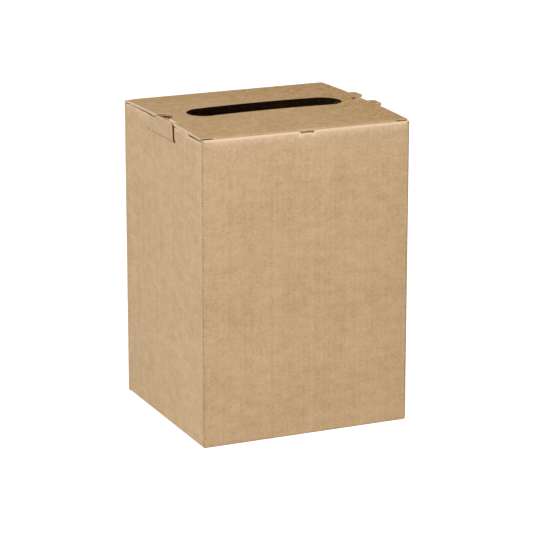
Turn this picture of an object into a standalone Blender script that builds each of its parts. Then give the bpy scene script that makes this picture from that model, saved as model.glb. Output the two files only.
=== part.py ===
# Entry box folded from one die-cut sheet of brown corrugated board.
# It stands on the XY plane with the middle of its base at the origin, front towards -Y.
# The lid is hinged along the top of the back wall and tucks in behind the front wall.
# Every panel between two creases is its own object; all lengths are in metres.
from math import cos, hypot, pi, radians, sin, sqrt, tan

import bmesh
import bpy
from mathutils import Matrix, Vector

# Driving sizes of the folded box
BOX_WIDTH = 0.250
BOX_DEPTH = 0.230
BOX_HEIGHT = 0.350        # floor to the top of the lid along its edges
BOARD = 0.0028            # thickness of the corrugated board
CREASE_GAP = 0.0003       # space between two panels at a crease, or lying on each other
FOLD_RADIUS = 0.0025      # outer radius of a folded edge

# Lid
LID_SIDE_INSET = 0.0005   # raw side edge inside the outer face of the side wall
LID_EDGE_BOW = 0.0020     # rise of the side edges at mid depth
LID_MIDDLE_BOW = 0.0024   # further rise at the middle of the lid
SLOT_END_MARGIN = 0.0315  # from each end of the posting slot to the outside of the box
SLOT_WIDTH = 0.041
SLIT_LENGTH = 0.0150      # slit at each end of the front fold
SLIT_GAP = 0.0011         # between the slit edge of the lid and the front wall

# Front tuck flap
TUCK_LENGTH = 0.045
TUCK_SIDE_CLEARANCE = 0.0018
TUCK_CORNER_RADIUS = 0.014
TUCK_SIDE_TAPER = 0.006   # each side edge comes in this much at the free end
TUCK_LEAN = radians(6.5)  # lean into the box, which lets the flap swing out past the front wall

# Front wall
FRONT_EDGE_DROP = 0.0012  # raw top edge below the top of the lid
THUMB_NOTCH_LENGTH = 0.019
THUMB_NOTCH_DEPTH = 0.0032
THUMB_NOTCH_SLOPE = 0.0025

# Side locks: a tab in each side wall, and two tongues on each side edge of the lid
LOCK_OFFSET = 0.004       # middle of the lock behind the middle of the box
LOCK_LENGTH = 0.072
TAB_HEIGHT = 0.017
TAB_RISE = 0.0020         # top edge of the tab above the crease of its wall
TAB_RELIEF = 0.004        # open slot at the front end of the tab
LEFT_TAB_LEAN = radians(2.5)     # the tongues behind it push the tab out a little
RIGHT_TAB_LEAN = radians(20)   # nothing holds this one in, and the tongues lie over it
TONGUE_LENGTH = 0.020
TONGUE_END_MARGIN = 0.001
TONGUE_CLEARANCE = 0.0002
TONGUE_DROP = 0.0115      # how far a tongue that is pushed in hangs below the lid
TONGUE_REACH = 0.0075     # how far a tongue that lies straight stands out past the side wall
TONGUE_CORNER_RADIUS = 0.0025
THUMB_HOLE_RADIUS = 0.014

# Side dust flaps under the lid
DUST_LENGTH = 0.024       # so short that it stays clear of the posting slot
DUST_HINGE_GAP = 0.0008
DUST_FRONT_SETBACK = 0.0430
DUST_FRONT_TAPER_SHARE = 0.30   # set back this much more for each unit away from the crease
DUST_BACK_SETBACK = 0.0090
DUST_BACK_TAPER_SHARE = 0.16
DUST_CORNER_RADIUS = 0.006
DUST_NOTCH_CLEARANCE = 0.0015   # round the tongues, wherever the flap has swung to
DUST_NOTCH_END_CLEARANCE = 0.0025

# Base, a crash-lock bottom
BASE_SIDE_CLEARANCE = 0.0010
BASE_SEAM_GAP = 0.0008
HOOK_HALF_LENGTH = 0.052
HOOK_REACH = 0.024
HOOK_OFFSET = 0.014
HOOK_CORNER_RADIUS = 0.009
MINOR_CORNER_SETBACK = 0.012
MINOR_DEPTH = 0.088
GLUE_TAB_DEPTH = 0.066
GLUE_TAB_MARGIN = 0.003
MINOR_CORNER_RADIUS = 0.012

# Glue flap of the back left corner
GLUE_FLAP_WIDTH = 0.032
GLUE_FLAP_TAPER = 0.012
GLUE_FLAP_END_GAP = 0.008

# Meshing
CORNER_STEPS = 3
ROUND_PROFILE = 0.5       # a bevel with this profile is a quarter circle
LID_X_STEPS = 20
LID_Y_STEPS = 16
SLOT_END_STEPS = 16
CUT_OVERRUN = 0.010

# Values worked out from the sizes above
half_width = BOX_WIDTH / 2
half_depth = BOX_DEPTH / 2
wall_top = BOX_HEIGHT - BOARD - CREASE_GAP        # creases of the side walls, under the lid
inner_x = half_width - BOARD
slot_length = BOX_WIDTH - 2 * SLOT_END_MARGIN
inner_y = half_depth - BOARD
nose_y = -inner_y + CREASE_GAP                    # outer face of the lid's front fold
tuck_axis_y = nose_y + BOARD
lid_underside = BOX_HEIGHT - BOARD
tab_crease = wall_top - TAB_HEIGHT
tab_back = LOCK_OFFSET + LOCK_LENGTH / 2
tab_front = LOCK_OFFSET - LOCK_LENGTH / 2
bend_inset = BOARD + TONGUE_CLEARANCE + BOARD     # inner face of a tongue that hangs down
slit_inner_x = half_width - SLIT_LENGTH
dust_axis_z = wall_top - BOARD                    # creases of the dust flaps
tongue_low = lid_underside - TONGUE_DROP
dust_notch_depth = hypot(TONGUE_CLEARANCE + BOARD, dust_axis_z - tongue_low) + DUST_NOTCH_CLEARANCE

# Colour, roughness and metallic value of each finish
OUTER_KRAFT = (0.565, 0.376, 0.210)
INNER_KRAFT = (0.470, 0.305, 0.165)
KRAFT_ROUGHNESS = 0.85


def clear_scene():
    for item in list(bpy.data.objects):
        bpy.data.objects.remove(item, do_unlink=True)


def kraft(name, colour):
    material = bpy.data.materials.new(name)
    material.use_nodes = True
    shader = material.node_tree.nodes["Principled BSDF"]
    shader.inputs["Base Color"].default_value = (*colour, 1)
    shader.inputs["Roughness"].default_value = KRAFT_ROUGHNESS
    shader.inputs["Metallic"].default_value = 0
    return material


def add_piece(name, mesh_builder, colour, origin=(0, 0, 0), turn=None):
    # With no turn the builder's points are in the box's frame; with one they are in the piece's own.
    mesh = bpy.data.meshes.new(name)
    if turn is None:
        bmesh.ops.translate(mesh_builder, vec=-Vector(origin), verts=mesh_builder.verts)
    bmesh.ops.recalc_face_normals(mesh_builder, faces=mesh_builder.faces)
    mesh_builder.to_mesh(mesh)
    mesh_builder.free()
    piece = bpy.data.objects.new(name, mesh)
    bpy.context.scene.collection.objects.link(piece)
    piece.location = origin
    piece.rotation_euler.z = turn or 0
    if colour:
        mesh.materials.append(kraft(name + "_board", colour))
    return piece


def add_cutter(name, mesh_builder):
    cutter = add_piece(name, mesh_builder, None)
    cutter.hide_render = True
    cutter.display_type = "WIRE"
    return cutter


def cut(piece, cutter):
    modifier = piece.modifiers.new(cutter.name, "BOOLEAN")
    modifier.operation = "DIFFERENCE"
    modifier.solver = "EXACT"
    modifier.object = cutter


def prism(outline, low, high):
    # A solid between two heights with the outline, a list of (x, y), as its plan.
    builder = bmesh.new()
    bottom = [builder.verts.new((x, y, low)) for x, y in outline]
    top = [builder.verts.new((x, y, high)) for x, y in outline]
    builder.faces.new(list(reversed(bottom)))
    builder.faces.new(top)
    for index in range(len(outline)):
        after = (index + 1) % len(outline)
        builder.faces.new((bottom[index], bottom[after], top[after], top[index]))
    return builder


def box(low, high):
    outline = [(low[0], low[1]), (high[0], low[1]), (high[0], high[1]), (low[0], high[1])]
    return prism(outline, low[2], high[2])


def fillet(outline, radii):
    # Rounds the corners of an outline; a radius of 0 keeps the corner sharp.
    rounded = []
    count = len(outline)
    for index, radius in enumerate(radii):
        corner = Vector(outline[index])
        if radius == 0:
            rounded.append(tuple(corner))
            continue
        before = (Vector(outline[index - 1]) - corner).normalized()
        after = (Vector(outline[(index + 1) % count]) - corner).normalized()
        half_angle = before.angle(after) / 2
        centre = corner + (before + after).normalized() * (radius / sin(half_angle))
        start = corner + before * (radius / tan(half_angle)) - centre
        end = corner + after * (radius / tan(half_angle)) - centre
        sweep = start.angle_signed(end)
        for step in range(CORNER_STEPS + 1):
            spoke = Matrix.Rotation(-sweep * step / CORNER_STEPS, 2) @ start
            rounded.append(tuple(centre + spoke))
    return rounded


def stadium(length, width):
    # A slot outline with round ends, along X.
    radius = width / 2
    reach = length / 2 - radius
    outline = []
    for side, first in ((1, -pi / 2), (-1, pi / 2)):
        for step in range(SLOT_END_STEPS + 1):
            angle = first + pi * step / SLOT_END_STEPS
            outline.append((side * reach + radius * cos(angle), radius * sin(angle)))
    return outline


def mirrored(outline):
    return [(-x, y) for x, y in reversed(outline)]


def round_edges(builder, chosen):
    edges = [edge for edge in builder.edges if all(chosen(vertex.co) for vertex in edge.verts)]
    bmesh.ops.bevel(builder, geom=edges, offset=FOLD_RADIUS, segments=CORNER_STEPS,
                    profile=ROUND_PROFILE, affect="EDGES", clamp_overlap=True)


def mitre(builder, point, normal):
    # Cuts off what lies beyond a plane and closes the cut face.
    geometry = builder.verts[:] + builder.edges[:] + builder.faces[:]
    result = bmesh.ops.bisect_plane(builder, geom=geometry, plane_co=point, plane_no=normal,
                                    clear_outer=True)
    rim = [item for item in result["geom_cut"] if isinstance(item, bmesh.types.BMEdge)]
    bmesh.ops.contextual_create(builder, geom=rim)


def wall_plan(length):
    # Plan of a wall in its own frame: outer face on y = 0, inside towards +Y, ends mitred.
    half = length / 2
    mitre_inset = BOARD + CREASE_GAP / sqrt(2)
    last_angle = pi / 4 - CREASE_GAP / 2 / FOLD_RADIUS
    right = []
    for step in range(CORNER_STEPS + 1):
        angle = last_angle * step / CORNER_STEPS
        right.append((half - FOLD_RADIUS + FOLD_RADIUS * sin(angle), FOLD_RADIUS - FOLD_RADIUS * cos(angle)))
    right.append((half - mitre_inset, BOARD))
    return right + mirrored(right)


def wall(length, height, folded_top):
    # The foot is folded to a base flap; the top is a fold too, or a raw edge.
    builder = prism(wall_plan(length), 0, height)
    skin_depth = FOLD_RADIUS - BOARD / 4

    def on_fold(point):
        at_end = point.z == 0 or (folded_top and abs(point.z - height) < CREASE_GAP / 2)
        return at_end and point.y < skin_depth

    round_edges(builder, on_fold)
    return builder


def add_walls():
    front = add_piece("front_wall", wall(BOX_WIDTH, BOX_HEIGHT - FRONT_EDGE_DROP, False),
                      OUTER_KRAFT, (0, -half_depth, 0), 0)
    back_mesh = wall(BOX_WIDTH, BOX_HEIGHT, True)
    mitre_point = (0, BOARD, lid_underside - CREASE_GAP / sqrt(2))
    mitre(back_mesh, mitre_point, (0, 1, 1))
    add_piece("back_wall", back_mesh, OUTER_KRAFT, (0, half_depth, 0), pi)
    right = add_piece("right_wall", wall(BOX_DEPTH, wall_top, True),
                      OUTER_KRAFT, (half_width, 0, 0), pi / 2)
    left = add_piece("left_wall", wall(BOX_DEPTH, wall_top, True),
                     OUTER_KRAFT, (-half_width, 0, 0), -pi / 2)
    return front, left, right


def add_thumb_notch(front):
    top = BOX_HEIGHT - FRONT_EDGE_DROP
    half = THUMB_NOTCH_LENGTH / 2
    slope = THUMB_NOTCH_SLOPE * (THUMB_NOTCH_DEPTH + CUT_OVERRUN) / THUMB_NOTCH_DEPTH
    outline = [(half - THUMB_NOTCH_SLOPE, top - THUMB_NOTCH_DEPTH),
               (half - THUMB_NOTCH_SLOPE + slope, top + CUT_OVERRUN)]
    builder = prism(outline + mirrored(outline), -half_depth - CUT_OVERRUN, -inner_y + CUT_OVERRUN)
    turn_upright = Matrix(((1, 0, 0), (0, 0, 1), (0, 1, 0)))
    bmesh.ops.transform(builder, matrix=turn_upright.to_4x4(), verts=builder.verts)
    cut(front, add_cutter("thumb_notch_cutter", builder))


def lid_rise(x, y):
    across = x / half_width
    along = y / half_depth
    return (1 - along ** 2) * (LID_EDGE_BOW + LID_MIDDLE_BOW * (1 - across ** 2))


def lid_profile():
    # Section of the lid from back to front over the top, and back again underneath.
    last_angle = pi / 4 + CREASE_GAP / 2 / FOLD_RADIUS
    over = []
    for step in range(CORNER_STEPS + 1):
        angle = last_angle + (pi / 2 - last_angle) * step / CORNER_STEPS
        over.append((half_depth - FOLD_RADIUS + FOLD_RADIUS * cos(angle),
                     BOX_HEIGHT - FOLD_RADIUS + FOLD_RADIUS * sin(angle)))
    back_flat = half_depth - FOLD_RADIUS
    front_flat = nose_y + FOLD_RADIUS
    stations = [back_flat + (front_flat - back_flat) * step / LID_Y_STEPS
                for step in range(1, LID_Y_STEPS)]
    over += [(y, BOX_HEIGHT) for y in stations]
    for step in range(CORNER_STEPS + 1):
        angle = pi / 2 + pi / 2 * step / CORNER_STEPS
        over.append((front_flat + FOLD_RADIUS * cos(angle),
                     BOX_HEIGHT - FOLD_RADIUS + FOLD_RADIUS * sin(angle)))
    under = [(nose_y, lid_underside)]
    under += [(y, lid_underside) for y in reversed(stations)]
    under.append((inner_y - CREASE_GAP / sqrt(2), lid_underside))
    return over + under


def add_lid():
    edge = half_width - LID_SIDE_INSET
    profile = lid_profile()
    builder = bmesh.new()
    loops = []
    for step in range(LID_X_STEPS + 1):
        x = -edge + 2 * edge * step / LID_X_STEPS
        loops.append([builder.verts.new((x, y, z + lid_rise(x, y))) for y, z in profile])
    for near, far in zip(loops, loops[1:]):
        for index in range(len(profile)):
            after = (index + 1) % len(profile)
            builder.faces.new((near[index], near[after], far[after], far[index]))
    builder.faces.new(loops[0])
    builder.faces.new(list(reversed(loops[-1])))
    lid = add_piece("lid", builder, OUTER_KRAFT, (0, half_depth, BOX_HEIGHT))
    for cutter in lid_cutters():
        cut(lid, cutter)
    return lid


def lid_cutters():
    low = lid_underside - CUT_OVERRUN
    high = BOX_HEIGHT + LID_EDGE_BOW + LID_MIDDLE_BOW + CUT_OVERRUN
    yield add_cutter("slot_cutter", prism(stadium(slot_length, SLOT_WIDTH), low, high))
    edge_inset = bend_inset + CREASE_GAP
    for side, word in ((-1, "left"), (1, "right")):
        hole = [(side * (half_width - LID_SIDE_INSET) + THUMB_HOLE_RADIUS * cos(angle),
                 LOCK_OFFSET + THUMB_HOLE_RADIUS * sin(angle))
                for angle in (2 * pi * step / (2 * SLOT_END_STEPS) for step in range(2 * SLOT_END_STEPS))]
        yield add_cutter(word + "_thumb_hole_cutter", prism(hole, low, high))
        inner, outer = sorted((side * (half_width - edge_inset), side * (half_width + CUT_OVERRUN)))
        yield add_cutter(word + "_lock_recess_cutter", box((inner, tab_front, low), (outer, tab_back, high)))
        inner, outer = sorted((side * slit_inner_x, side * (half_width + CUT_OVERRUN)))
        yield add_cutter(word + "_slit_cutter", box((inner, -half_depth - CUT_OVERRUN, low),
                                                    (outer, -inner_y + SLIT_GAP, high)))


def add_tuck_flap():
    # Modelled hanging straight down from its crease, then leaned into the box about it.
    shoulder = inner_x - TUCK_SIDE_CLEARANCE
    shoulder_top = -CREASE_GAP - BOARD / 2
    fold_half = slit_inner_x - CREASE_GAP
    outline = [(fold_half, -CREASE_GAP), (fold_half, shoulder_top), (shoulder, shoulder_top),
               (shoulder - TUCK_SIDE_TAPER, -TUCK_LENGTH)]
    left_side = mirrored(outline)
    corner_radii = [0, 0, 0, TUCK_CORNER_RADIUS]
    shape = fillet(outline + left_side, corner_radii + corner_radii[::-1])
    builder = prism(shape, 0, BOARD)
    turn_upright = Matrix(((1, 0, 0), (0, 0, -1), (0, 1, 0)))
    bmesh.ops.transform(builder, matrix=turn_upright.to_4x4(), verts=builder.verts)
    lean = Matrix.Rotation(TUCK_LEAN, 4, "X")
    bmesh.ops.transform(builder, matrix=lean, verts=builder.verts)
    axis = (0, tuck_axis_y, lid_underside)
    bmesh.ops.translate(builder, vec=axis, verts=builder.verts)
    return add_piece("tuck_flap", builder, OUTER_KRAFT, axis)


def tongue_spans():
    # Front and rear tongue, one on each side of the thumb hole.
    back = tab_back - TONGUE_END_MARGIN
    front = tab_front + TONGUE_END_MARGIN
    return (("rear", back - TONGUE_LENGTH, back), ("front", front, front + TONGUE_LENGTH))


def add_tongues():
    # The left pair is pushed down behind the lock tab; the right pair lies straight.
    for word, low_y, high_y in tongue_spans():
        rise = lid_rise(half_width - bend_inset, (low_y + high_y) / 2)
        top = BOX_HEIGHT + rise
        outer = -half_width + BOARD + TONGUE_CLEARANCE
        outline = fillet([(low_y, tongue_low), (high_y, tongue_low), (high_y, top), (low_y, top)],
                         [TONGUE_CORNER_RADIUS, TONGUE_CORNER_RADIUS, 0, 0])
        hanging = prism(outline, outer, outer + BOARD)
        turn_upright = Matrix(((0, 0, 1), (1, 0, 0), (0, 1, 0)))
        bmesh.ops.transform(hanging, matrix=turn_upright.to_4x4(), verts=hanging.verts)
        crest = [edge for edge in hanging.edges
                 if all(v.co.z > top - CREASE_GAP and v.co.x < outer + CREASE_GAP for v in edge.verts)]
        bmesh.ops.bevel(hanging, geom=crest, offset=FOLD_RADIUS, segments=CORNER_STEPS,
                        profile=ROUND_PROFILE, affect="EDGES")
        add_piece("left_" + word + "_tongue", hanging, OUTER_KRAFT,
                  (-half_width + bend_inset, (low_y + high_y) / 2, top))
        inner = half_width - bend_inset
        outline = fillet([(inner, low_y), (half_width + TONGUE_REACH, low_y),
                          (half_width + TONGUE_REACH, high_y), (inner, high_y)],
                         [0, TONGUE_CORNER_RADIUS, TONGUE_CORNER_RADIUS, 0])
        straight = prism(outline, top - BOARD, top)
        add_piece("right_" + word + "_tongue", straight, OUTER_KRAFT,
                  (inner, (low_y + high_y) / 2, top))


def add_lock_tabs(left_wall, right_wall):
    # Each tab is cut free on three sides and creased at its foot, where it bends outwards.
    for side, word, host, lean in ((-1, "left", left_wall, LEFT_TAB_LEAN),
                                   (1, "right", right_wall, RIGHT_TAB_LEAN)):
        low_x, high_x = sorted((side * (inner_x - CUT_OVERRUN), side * (half_width + CUT_OVERRUN)))
        window = box((low_x, tab_front - TAB_RELIEF, tab_crease),
                     (high_x, tab_back + CREASE_GAP, wall_top + CUT_OVERRUN))
        cut(host, add_cutter(word + "_tab_window_cutter", window))
        low_x, high_x = sorted((side * inner_x, side * half_width))
        tab = box((low_x, tab_front, tab_crease + CREASE_GAP), (high_x, tab_back, wall_top + TAB_RISE))
        axis = Vector((side * half_width, 0, tab_crease))
        bmesh.ops.rotate(tab, cent=axis, matrix=Matrix.Rotation(side * lean, 3, "Y"), verts=tab.verts)
        add_piece(word + "_lock_tab", tab, OUTER_KRAFT, axis)


def dust_outline():
    # Plan of the right dust flap, from its crease towards the middle of the box.
    hinge = inner_x - DUST_HINGE_GAP
    free = inner_x - DUST_LENGTH
    front = -half_depth + DUST_FRONT_SETBACK
    back = half_depth - DUST_BACK_SETBACK
    corners = [(hinge, front), (hinge, back), (free, back - DUST_LENGTH * DUST_BACK_TAPER_SHARE),
               (free, front + DUST_LENGTH * DUST_FRONT_TAPER_SHARE)]
    return fillet(corners, [0, 0, DUST_CORNER_RADIUS, DUST_CORNER_RADIUS])


def add_dust_flaps():
    low = dust_axis_z
    for side, word in ((-1, "left"), (1, "right")):
        outline = dust_outline() if side > 0 else mirrored(dust_outline())
        flap = add_piece(word + "_dust_flap", prism(outline, low, wall_top), OUTER_KRAFT,
                         (side * inner_x, 0, low))
        for end, low_y, high_y in tongue_spans():
            low_x, high_x = sorted((side * (inner_x - dust_notch_depth), side * (inner_x + CUT_OVERRUN)))
            notch = box((low_x, low_y - DUST_NOTCH_END_CLEARANCE, low - CUT_OVERRUN),
                        (high_x, high_y + DUST_NOTCH_END_CLEARANCE, wall_top + CUT_OVERRUN))
            cut(flap, add_cutter(word + "_" + end + "_notch_cutter", notch))


def add_glue_flap():
    # Creased to the left wall and glued to the inside of the back wall.
    low = 2 * BOARD + CREASE_GAP + GLUE_FLAP_END_GAP
    high = wall_top - BOARD - GLUE_FLAP_END_GAP
    hinge = -inner_x + CREASE_GAP
    free = hinge + GLUE_FLAP_WIDTH
    outline = [(hinge, low), (free, low + GLUE_FLAP_TAPER), (free, high - GLUE_FLAP_TAPER), (hinge, high)]
    far = inner_y - CREASE_GAP
    builder = prism(outline, far - BOARD, far)
    turn_upright = Matrix(((1, 0, 0), (0, 0, 1), (0, 1, 0)))
    bmesh.ops.transform(builder, matrix=turn_upright.to_4x4(), verts=builder.verts)
    add_piece("glue_flap", builder, INNER_KRAFT, (hinge, far, low))


def add_major_base_flaps():
    # Front and back flaps meet along the middle and hook into each other.
    side = inner_x - BASE_SIDE_CLEARANCE
    hinge = inner_y - CREASE_GAP
    gap = BASE_SEAM_GAP / 2
    round_corner = HOOK_CORNER_RADIUS
    front = [(-side, -hinge), (side, -hinge), (side, -gap), (HOOK_HALF_LENGTH + gap, -gap),
             (HOOK_HALF_LENGTH + gap, -HOOK_REACH - gap), (HOOK_OFFSET - gap, -HOOK_REACH - gap),
             (HOOK_OFFSET - gap, HOOK_REACH - gap), (-HOOK_HALF_LENGTH + gap, HOOK_REACH - gap),
             (-HOOK_HALF_LENGTH + gap, -gap), (-side, -gap)]
    back = [(side, hinge), (-side, hinge), (-side, gap), (-HOOK_HALF_LENGTH - gap, gap),
            (-HOOK_HALF_LENGTH - gap, HOOK_REACH + gap), (HOOK_OFFSET + gap, HOOK_REACH + gap),
            (HOOK_OFFSET + gap, -HOOK_REACH + gap), (HOOK_HALF_LENGTH - gap, -HOOK_REACH + gap),
            (HOOK_HALF_LENGTH - gap, gap), (side, gap)]
    radii = [0, 0, 0, 0, 0, 0, round_corner, round_corner, 0, 0]
    add_piece("front_base_flap", prism(fillet(front, radii), 0, BOARD), INNER_KRAFT, (0, -hinge, 0))
    add_piece("back_base_flap", prism(fillet(back, radii), 0, BOARD), INNER_KRAFT, (0, hinge, 0))


def add_minor_base_flaps():
    # Each side flap lies on the two large flaps, with a glue tab beyond a diagonal crease.
    low = BOARD + CREASE_GAP
    hinge = inner_x - CREASE_GAP
    reach = half_depth - MINOR_CORNER_SETBACK
    free = hinge - MINOR_DEPTH
    tab_free = hinge - GLUE_TAB_DEPTH
    crease_end = -reach + GLUE_TAB_DEPTH
    gap = CREASE_GAP / sqrt(2)
    flap = [(hinge, -reach + gap), (hinge, reach), (free, reach - MINOR_CORNER_SETBACK),
            (free, crease_end), (tab_free, crease_end + gap)]
    tab = [(hinge - GLUE_TAB_MARGIN, -reach - gap + GLUE_TAB_MARGIN), (tab_free, crease_end - gap),
           (tab_free, -reach + GLUE_TAB_MARGIN), (hinge - 2 * GLUE_TAB_MARGIN, -reach + GLUE_TAB_MARGIN)]
    flap_radii = [0, 0, MINOR_CORNER_RADIUS, MINOR_CORNER_RADIUS, 0]
    for word, turned in (("right", 1), ("left", -1)):
        shape = [(turned * x, turned * y) for x, y in fillet(flap, flap_radii)]
        add_piece(word + "_base_flap", prism(shape, low, low + BOARD), INNER_KRAFT, (turned * hinge, 0, low))
        shape = [(turned * x, turned * y) for x, y in tab]
        add_piece(word + "_base_glue_tab", prism(shape, low, low + BOARD), INNER_KRAFT,
                  (turned * hinge, turned * -reach, low))


clear_scene()
front_wall, left_wall, right_wall = add_walls()
add_thumb_notch(front_wall)
add_lock_tabs(left_wall, right_wall)
add_dust_flaps()
add_glue_flap()
add_major_base_flaps()
add_minor_base_flaps()
add_lid()
add_tuck_flap()
add_tongues()
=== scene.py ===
from math import atan2, cos, exp, hypot, pi, radians, sin, sqrt, tan

import bmesh
import bpy
import numpy as np
from mathutils import Matrix, Vector
from mathutils.geometry import delaunay_2d_cdt


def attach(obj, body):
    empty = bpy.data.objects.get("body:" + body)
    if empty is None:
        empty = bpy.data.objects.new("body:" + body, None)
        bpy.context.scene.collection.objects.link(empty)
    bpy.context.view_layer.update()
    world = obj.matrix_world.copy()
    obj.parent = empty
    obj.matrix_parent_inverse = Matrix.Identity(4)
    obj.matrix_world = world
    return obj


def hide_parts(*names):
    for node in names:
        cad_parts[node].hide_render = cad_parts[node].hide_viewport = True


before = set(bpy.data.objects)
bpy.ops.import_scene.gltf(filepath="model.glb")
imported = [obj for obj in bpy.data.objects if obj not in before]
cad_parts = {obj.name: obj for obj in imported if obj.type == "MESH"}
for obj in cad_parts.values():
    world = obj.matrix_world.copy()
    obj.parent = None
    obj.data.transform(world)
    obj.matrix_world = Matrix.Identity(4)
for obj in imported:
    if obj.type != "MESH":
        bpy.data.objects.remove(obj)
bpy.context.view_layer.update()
print("frame loaded,", len(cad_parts), "CAD nodes")

# The folded box, in metres, as the CAD has it
box = {
    "halfWidth": 0.125,
    "halfDepth": 0.115,
    "height": 0.350,      # top of the lid along its side edges, before it bows
    "frontTop": 0.3488,   # raw top edge of the front wall
    "sideTop": 0.3469,    # folds of the side walls, under the lid
    "fold": 0.0025,       # outer radius of a fold
    "gap": 0.0003,        # between two panels at a crease
}

# The board, two liners with a fluted medium between them
board = {
    "thick": 0.0028,
    "liner": 0.00036,
    "pitch": 0.0064,      # from flute to flute
    "hollow": 0.0022,     # how deep a cut edge is open between its liners
    "shoulder": 0.0008,   # strip along a cut edge that the cutting rule pressed down
    "edgeMargin": 0.0011, # no point that divides an edge is nearer to its ends than this,
    "foldMargin": 0.0002, # or than this on a fold
    "pressed": 0.00020,
    "medium": 0.00026,    # thickness of the fluted paper
    "mediumBack": 0.0003, # its cut edge stands this much behind the liners
    "step": 0.0005,       # length of a piece of the fluted strip
    "sharpFrom": 13.5,    # angle from which an edge is shown sharp, in degrees
}

# What a word in an outline makes of an edge: how deep it is hollow behind its face, how light its corners
# and its hollow are painted, for wear and painted highlight (below nothing they take painted shade, black
# in the slot), and whether the fluted paper shows
edgeKinds = {
    "cut": {"hollow": board["hollow"], "rim": 0.9, "deep": -0.10, "fluted": True},
    "raw": {"hollow": board["hollow"], "rim": 0, "deep": -0.35, "fluted": True},
    "open": {"hollow": board["hollow"], "rim": 0.8, "deep": -0.35, "fluted": False},
    "shut": {"hollow": 0.00025, "rim": 0.85, "deep": 0.75, "fluted": False},
    "slit": {"hollow": 0.0015, "rim": -0.13, "deep": -0.8, "fluted": False},
    "dark": {"hollow": 0.0015, "rim": -1, "deep": -1, "fluted": False},
    "fold": {"hollow": 0, "rim": 0, "deep": 0, "fluted": False},
}

# Camera, fitted to the corners of the box in the photograph

cameraSet = {
    "aim": (0.0014, -0.0017, 0.1664),
    "azimuth": -24.044,
    "elevation": 15.545,
    "distance": 2.997,
    "lens": 176.63,
    "sensor": 36,
    "clip": (0.05, 100),
}


def around(azimuth, elevation):
    turn = radians(azimuth)
    rise = radians(elevation)
    return Vector((sin(turn) * cos(rise), -cos(turn) * cos(rise), sin(rise)))


def added(name, data):
    made = bpy.data.objects.new(name, data)
    bpy.context.scene.collection.objects.link(made)
    return made


def aimed(data, aim, azimuth, elevation, distance):
    # Puts a camera or a lamp at the angles and the distance given, looking at the aim
    made = added(data.name, data)
    back = around(azimuth, elevation)
    made.location = Vector(aim) + back * distance
    made.rotation_mode = "QUATERNION"
    made.rotation_quaternion = (-back).to_track_quat("-Z", "Y")
    return made


def addCamera(values):
    data = bpy.data.cameras.new("photoCamera")
    data.lens = values["lens"]
    data.sensor_width = values["sensor"]
    data.clip_start, data.clip_end = values["clip"]
    place = (values["azimuth"], values["elevation"], values["distance"])
    bpy.context.scene.camera = aimed(data, values["aim"], *place)


# Node helpers: a Wire is one socket of a tree, and an expression on Wires adds Math nodes


class Wire:
    def __init__(self, sheet, socket):
        self.sheet = sheet
        self.socket = socket

    def math(self, operation, first, second):
        return self.sheet.node("ShaderNodeMath", {"operation": operation}, [first, second])

    def __add__(self, other):
        return self.math("ADD", self, other)

    def __sub__(self, other):
        return self.math("SUBTRACT", self, other)

    def __rsub__(self, other):
        return self.math("SUBTRACT", other, self)

    def __mul__(self, other):
        return self.math("MULTIPLY", self, other)

    def __truediv__(self, other):
        return self.math("DIVIDE", self, other)

    __radd__ = __add__


class NodeSheet:
    def __init__(self, tree):
        self.tree = tree

    def node(self, kind, settings=None, values=None, output=0):
        made = self.tree.nodes.new(kind)
        for name, value in (settings or {}).items():
            setattr(made, name, value)
        pairs = values.items() if isinstance(values, dict) else enumerate(values or [])
        for name, value in pairs:
            if isinstance(value, Wire):
                self.tree.links.new(value.socket, made.inputs[name])
            elif value is not None:
                made.inputs[name].default_value = value
        return Wire(self, made.outputs[output]) if made.outputs else None

    def mix(self, share, first, second):
        return self.node("ShaderNodeMix", {"data_type": "RGBA"}, {0: share, 6: first, 7: second}, 2)

    def noise(self, vector, scale, detail, rough, stretch=(1, 1, 1), move=(0, 0, 0)):
        place = self.node("ShaderNodeMapping", {}, {"Vector": vector, "Location": move, "Scale": stretch})
        values = {"Vector": place, "Scale": scale, "Detail": detail, "Roughness": rough}
        return self.node("ShaderNodeTexNoise", {}, values)

    def sine(self, angle):
        return self.node("ShaderNodeMath", {"operation": "SINE"}, [angle])

    def between(self, value, low, high):
        # 0 below low, 1 above high, smooth between them
        settings = {"interpolation_type": "SMOOTHSTEP"}
        return self.node("ShaderNodeMapRange", settings, {0: value, 1: low, 2: high, 3: 0, 4: 1})


def newMaterial(name):
    material = bpy.data.materials.new(name)
    material.use_nodes = True
    material.node_tree.nodes.clear()
    return material, NodeSheet(material.node_tree)


def shade(red, green, blue):
    # A colour as it is read off a picture, from 0 to 255, made linear
    parts = [part / 255 for part in (red, green, blue)]
    parts = [part / 12.92 if part < 0.04045 else ((part + 0.055) / 1.055) ** 2.4 for part in parts]
    return (*parts, 1)


# Floor, backdrop and lights

studio = {
    "floorSize": 60,
    "floorShade": 0.74,
    "floorGlow": 0.80,     # only what the camera sees of the floor, so that it reads white
    "skyLight": 0.37,      # how strongly the sky lights the box; the camera sees it white
    "skyColour": (1.0, 0.96, 0.80, 1),
    "lampAim": (0, 0, 0.17),
    "lamps": (
        # azimuth, elevation, distance, size, watts, colour
        (-24, 50, 3.2, 2.4, 44.5, (1.06, 1.0, 0.94)),
        (-60, 15, 3.2, 2.4, 60, (0.85, 1.0, 1.20)),
    ),
}


def seenDirectly(sheet):
    path = sheet.tree.nodes.new("ShaderNodeLightPath")
    seen = Wire(sheet, path.outputs["Is Camera Ray"])
    seen = seen + Wire(sheet, path.outputs["Is Glossy Ray"])
    return seen + Wire(sheet, path.outputs["Is Transmission Ray"])


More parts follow.
